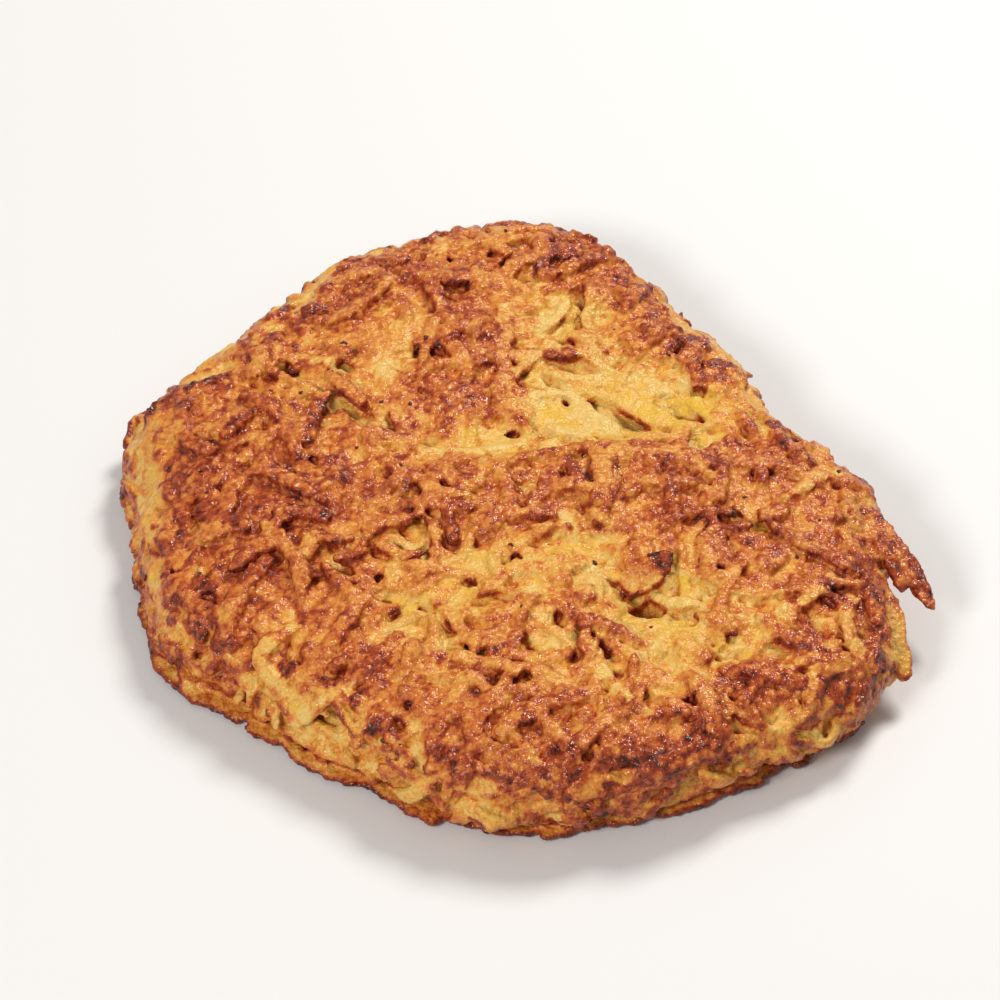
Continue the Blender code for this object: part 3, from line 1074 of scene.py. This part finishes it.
def part_of(crust, name, upper, front):
    """A quarter of the crust, closed by flat faces inside the cake, with the whole crust's shading."""
    bm = bmesh_of(crust)
    for face in bm.faces:
        face.smooth = True
    for normal, keep_above in (((0, 0, 1), upper), ((0, -1, 0), front)):
        cut = bmesh.ops.bisect_plane(
            bm,
            geom=[*bm.verts, *bm.edges, *bm.faces],
            dist=1e-7,
            plane_co=CUT_POINT,
            plane_no=normal,
            clear_inner=keep_above,
            clear_outer=not keep_above,
        )
        rim = [item for item in cut["geom_cut"] if isinstance(item, bmesh.types.BMEdge)]
        closed = bmesh.ops.triangle_fill(bm, edges=rim, use_beauty=True)
        outward = -Vector(normal) if keep_above else Vector(normal)
        for face in closed["geom"]:
            if isinstance(face, bmesh.types.BMFace):
                face.smooth = False
                face.normal_update()
                if face.normal.dot(outward) < 0:
                    face.normal_flip()
        for edge in rim:
            edge.smooth = False
    bmesh.ops.triangulate(bm, faces=[face for face in bm.faces if len(face.verts) > 4])
    mesh = mesh_from(bm, name)
    keep_shading(mesh)
    return mesh


def keep_shading(mesh):
    """Shades the smooth faces by the stored outward directions, so that parts meet without a seam."""
    out = rows_of(mesh.attributes["out"].data, "vector", 3).astype(float)
    out /= lengths(out)
    corners = rows_of(mesh.loops, "vertex_index", 1, np.int32)[:, 0]
    corner_counts = rows_of(mesh.polygons, "loop_total", 1, np.int32)[:, 0]
    flat = rows_of(mesh.polygons, "normal", 3)
    smooth = rows_of(mesh.polygons, "use_smooth", 1, bool)[:, 0]
    face_of_corner = np.repeat(np.arange(len(corner_counts)), corner_counts)
    plain = ~smooth[face_of_corner]
    shading = out[corners]
    shading[plain] = flat[face_of_corner][plain]
    mesh.normals_split_custom_set(shading.tolist())
    mesh.attributes.remove(mesh.attributes["out"])


# --------------------------------------------------------------------------------------------------
# Burnt flecks

FLECK_COUNT = 40
FLECK_SIZES = (0.12, 0.26)  # least and greatest, in millimetres
FLECK_REACH = 44 * MM  # how far from the middle they lie at most
FLECK_ROUGHNESS = 0.9
FLECK_LUMP = 0.22 * MM


def burnt_flecks(sizes):
    """Burnt specks of potato, half sunk in the crust, as one mesh."""
    chooser = random.Random(sizes.seed + 1)
    tree = surface_tree(*(bpy.data.objects[name].data for name, *_ in CRUST_PARTS))
    bm = bmesh.new()
    for _ in range(FLECK_COUNT):
        turn, reach = chooser.uniform(0, 2 * math.pi), math.sqrt(chooser.random()) * FLECK_REACH
        above = Vector((reach * math.cos(turn), reach * math.sin(turn), 2 * HEIGHT))
        place, out, _, _ = tree.ray_cast(above, Vector((0, 0, -1)))
        if place is None:
            continue
        lean = out.to_track_quat("Z", "Y").to_matrix() @ Matrix.Rotation(chooser.uniform(0, 6.28), 3, "Z")
        size = chooser.uniform(*FLECK_SIZES) * MM
        shape = Matrix.Diagonal((size * chooser.uniform(1.0, 1.6), size, size * 0.6, 1))
        matrix = Matrix.Translation(place + out * size * 0.1) @ lean.to_4x4() @ shape
        made = bmesh.ops.create_icosphere(bm, subdivisions=2, radius=1.0, matrix=matrix)
        for vertex in made["verts"]:
            vertex.co += (vertex.co - place) * FLECK_ROUGHNESS * noise.noise(vertex.co / FLECK_LUMP)
    for face in bm.faces:
        face.smooth = True
    return mesh_from(bm, "burnt_flecks")


# --------------------------------------------------------------------------------------------------
# Materials


class Nodes:
    """A short way to write a material's nodes."""

    def __init__(self, name):
        self.material = bpy.data.materials.new(name)
        self.material.use_nodes = True
        self.tree = self.material.node_tree
        self.shader = self.tree.nodes["Principled BSDF"]

    def feed(self, target, value):
        """Links a socket, or sets a plain value."""
        if isinstance(value, bpy.types.NodeSocket):
            self.tree.links.new(value, target)
        else:
            target.default_value = value

    def add(self, kind, inputs, output, **settings):
        """Adds a node with these inputs and settings, and gives its output."""
        node = self.tree.nodes.new(kind)
        for key, value in settings.items():
            setattr(node, key, value)
        for key, value in inputs.items():
            self.feed(node.inputs[key], value)
        return node.outputs[output]

    def finish(self, inputs):
        """Feeds the shader, and gives the finished material."""
        for key, value in inputs.items():
            self.feed(self.shader.inputs[key], value)
        return self.material

    def place(self):
        return self.add("ShaderNodeTexCoord", {}, "Object")

    def attribute(self, name):
        return self.add("ShaderNodeAttribute", {}, "Fac", attribute_name=name)

    def sum(self, first, second):
        return self.add("ShaderNodeMath", {0: first, 1: second}, 0, operation="ADD")

    def noise(self, place, scale, detail, roughness, distortion=0.0):
        inputs = {"Vector": place, "Scale": scale, "Detail": detail, "Roughness": roughness}
        return self.add("ShaderNodeTexNoise", {**inputs, "Distortion": distortion}, "Fac")

    def spread(self, value, low, high, new_low, new_high):
        """Maps low..high of a value to new_low..new_high, and holds it there beyond."""
        inputs = {"Value": value, "From Min": low, "From Max": high, "To Min": new_low, "To Max": new_high}
        return self.add("ShaderNodeMapRange", inputs, "Result", clamp=True)

    def mix(self, share, first, second, blend="MIX"):
        inputs = {"Factor": share, 6: first, 7: second}
        return self.add("ShaderNodeMix", inputs, 2, data_type="RGBA", blend_type=blend)

    def bump(self, height, distance, strength):
        inputs = {"Height": height, "Distance": distance, "Strength": strength}
        return self.add("ShaderNodeBump", inputs, "Normal")

    def ramp(self, value, stops):
        node = self.tree.nodes.new("ShaderNodeValToRGB")
        self.feed(node.inputs["Fac"], value)
        elements = node.color_ramp.elements
        while len(elements) < len(stops):
            elements.new(0.5)
        for element, (place, colour) in zip(elements, stops):
            element.position = place
            element.color = (*colour, 1.0)
        return node.outputs["Color"]


# The fine unevenness of the browning: the noise, and how much it adds or takes at most
Mottle = namedtuple("Mottle", "scale detail roughness distortion swing")
MOTTLES = (
    Mottle(520, 4.0, 0.62, 0.6, 0.11),
    Mottle(1650, 3.0, 0.65, 0.0, 0.17),
    Mottle(170, 3.0, 0.55, 0.8, 0.05),
)


def fried_potato(colours):
    """Potato at every stage of frying, as its browning says, with oil on it. The browning also carries
    painted shade in gaps, holes, pits and blister creases.
    """
    nodes = Nodes("fried_potato")
    place = nodes.place()
    level = nodes.attribute("browning")
    tone = nodes.attribute("tone")
    for mottle in MOTTLES:
        pattern = nodes.noise(place, mottle.scale, mottle.detail, mottle.roughness, mottle.distortion)
        level = nodes.sum(level, nodes.spread(pattern, 0.3, 0.7, -mottle.swing, mottle.swing))
    stages = (
        (0.06, colours.raw),
        (0.30, colours.golden),
        (0.50, colours.amber),
        (0.70, colours.russet),
        (0.90, colours.dark),
        (1.00, colours.char),
    )
    colour = nodes.ramp(level, stages)
    pale = nodes.ramp(tone, ((0.10, colours.cream), (0.50, colours.raw), (0.90, colours.yellow)))
    colour = nodes.mix(nodes.spread(level, 0.05, 0.26, 0.85, 0.0), colour, pale)
    glow = (0.86, 0.62, 0.30, 1.0)
    colour = nodes.mix(nodes.spread(tone, 0.0, 1.0, 0.0, 0.2), colour, glow, "SOFT_LIGHT")
    oil = nodes.spread(nodes.noise(place, 900, 2.0, 0.5), 0.35, 0.65, 0.14, 0.34)
    dull_where_pale = nodes.spread(level, 0.15, 0.45, 0.16, 0.0)
    pebbles = nodes.noise(place, 1250, 2.0, 0.5)
    finish = {
        "Base Color": colour,
        "Roughness": nodes.sum(oil, dull_where_pale),
        "Normal": nodes.bump(pebbles, 0.50 * MM, 1.0),
        "IOR": 1.46,
        "Specular IOR Level": 0.62,
        "Specular Tint": (1.0, 0.74, 0.56, 1.0),
    }
    return nodes.finish(finish)


def burnt_potato(colours):
    """Potato fried to a black crumb, with a slight gleam."""
    nodes = Nodes("burnt_potato")
    grain = nodes.noise(nodes.place(), 4000, 3.0, 0.6)
    finish = {
        "Base Color": nodes.ramp(grain, ((0.35, colours.char), (0.70, colours.dark))),
        "Roughness": nodes.spread(grain, 0.3, 0.7, 0.35, 0.6),
        "Normal": nodes.bump(grain, 0.06 * MM, 0.6),
        "Specular IOR Level": 0.25,
    }
    return nodes.finish(finish)


def material_named(name, maker, colours):
    """The material of this name, made the first time that it is asked for."""
    return bpy.data.materials.get(name) or maker(colours)


# --------------------------------------------------------------------------------------------------
# The stage

FLOOR_COLOUR = (0.74, 0.735, 0.725, 1.0)
FLOOR_ROUGHNESS = 0.6
FLOOR_REACH = 3.0
ROOM_COLOUR = (1.0, 0.99, 0.98, 1.0)
ROOM_BRIGHTNESS = 0.36
VIEW_ELEVATION = math.radians(44)
VIEW_DISTANCE = 0.594
SHARE_OF_FRAME = 0.757  # how much of the picture's width the solid takes up
SENSOR_WIDTH = 36.0


def add_floor():
    bm = bmesh.new()
    bmesh.ops.create_grid(bm, x_segments=1, y_segments=1, size=FLOOR_REACH)
    floor = add_object("floor", mesh_from(bm, "floor"))
    paint = Nodes("white_table").finish({"Base Color": FLOOR_COLOUR, "Roughness": FLOOR_ROUGHNESS})
    floor.data.materials.append(paint)


def add_area_light(name, place, size, power, colour):
    """A round soft light that shines at the middle of the cake."""
    light = bpy.data.lights.new(name, "AREA")
    light.shape = "DISK"
    light.size = size
    light.energy = power
    light.color = colour
    lamp = add_object(name, light)
    lamp.location = place
    lamp.rotation_euler = (Vector((0, 0, HEIGHT / 2)) - Vector(place)).to_track_quat("-Z", "Y").to_euler()


def add_lights():
    scene = bpy.context.scene
    scene.view_settings.view_transform = "Standard"
    scene.world = bpy.data.worlds.new("studio")
    scene.world.use_nodes = True
    background = scene.world.node_tree.nodes["Background"]
    background.inputs["Color"].default_value = ROOM_COLOUR
    background.inputs["Strength"].default_value = ROOM_BRIGHTNESS
    add_area_light("key", (0.22, 0.34, 0.50), size=0.20, power=3.15, colour=(1.0, 0.97, 0.93))
    add_area_light("fill", (-0.35, -0.45, 0.45), size=0.22, power=3.0, colour=(1.0, 0.98, 0.96))


def add_camera():
    data = bpy.data.cameras.new("camera")
    camera = add_object("camera", data)
    bpy.context.scene.camera = camera
    low, high = SOLID_BOX
    back = Vector((0, -math.cos(VIEW_ELEVATION), math.sin(VIEW_ELEVATION)))
    camera.location = (low + high) / 2 + back * VIEW_DISTANCE
    camera.rotation_euler = (-back).to_track_quat("-Z", "Y").to_euler()
    data.sensor_width = SENSOR_WIDTH
    data.lens = SENSOR_WIDTH * SHARE_OF_FRAME * VIEW_DISTANCE / (high.x - low.x)
    data.clip_start = 0.01


# --------------------------------------------------------------------------------------------------
# Operators


class LATKE_OT_crust(bpy.types.Operator):
    """Press the shredded potato into the cake and brown it, above and below"""

    bl_idname = "latke.crust"
    bl_label = "Press the cake"

    def execute(self, context):
        material = material_named("fried_potato", fried_potato, context.scene.latke_colours)
        crust = make_crust(Cake(), context.scene.latke_sizes)
        for name, upper, front in CRUST_PARTS:
            finish_piece(add_object(name, part_of(crust, name, upper, front)), material)
        return {"FINISHED"}


class LATKE_OT_flecks(bpy.types.Operator):
    """Scatter burnt flecks over the crust"""

    bl_idname = "latke.flecks"
    bl_label = "Scatter burnt flecks"

    def execute(self, context):
        material = material_named("burnt_potato", burnt_potato, context.scene.latke_colours)
        flecks = burnt_flecks(context.scene.latke_sizes)
        finish_piece(add_object("burnt_flecks", flecks), material)
        return {"FINISHED"}


class LATKE_OT_stage(bpy.types.Operator):
    """Set the pale floor, the soft lights and the camera"""

    bl_idname = "latke.stage"
    bl_label = "Set the stage"

    def execute(self, context):
        add_floor()
        add_lights()
        add_camera()
        return {"FINISHED"}


class LATKE_PT_panel(bpy.types.Panel):
    """Lists what builds the latke"""

    bl_idname = "LATKE_PT_panel"
    bl_label = "Latke"
    bl_space_type = "VIEW_3D"
    bl_region_type = "UI"
    bl_category = "Latke"

    def draw(self, context):
        for group in (context.scene.latke_sizes, context.scene.latke_colours):
            for name in group.__annotations__:
                self.layout.prop(group, name)
        for operator in OPERATORS:
            self.layout.operator(operator.bl_idname)


OPERATORS = (LATKE_OT_crust, LATKE_OT_flecks, LATKE_OT_stage)
CLASSES = (LatkeSizes, LatkeColours, *OPERATORS, LATKE_PT_panel)


def register():
    for kind in CLASSES:
        bpy.utils.register_class(kind)
    bpy.types.Scene.latke_sizes = PointerProperty(type=LatkeSizes)
    bpy.types.Scene.latke_colours = PointerProperty(type=LatkeColours)


def unregister():
    del bpy.types.Scene.latke_sizes
    del bpy.types.Scene.latke_colours
    for kind in reversed(CLASSES):
        bpy.utils.unregister_class(kind)


def main():
    register()
    bpy.ops.latke.crust()
    bpy.ops.latke.flecks()
    bpy.ops.latke.stage()


if __name__ == "__main__":
    main()
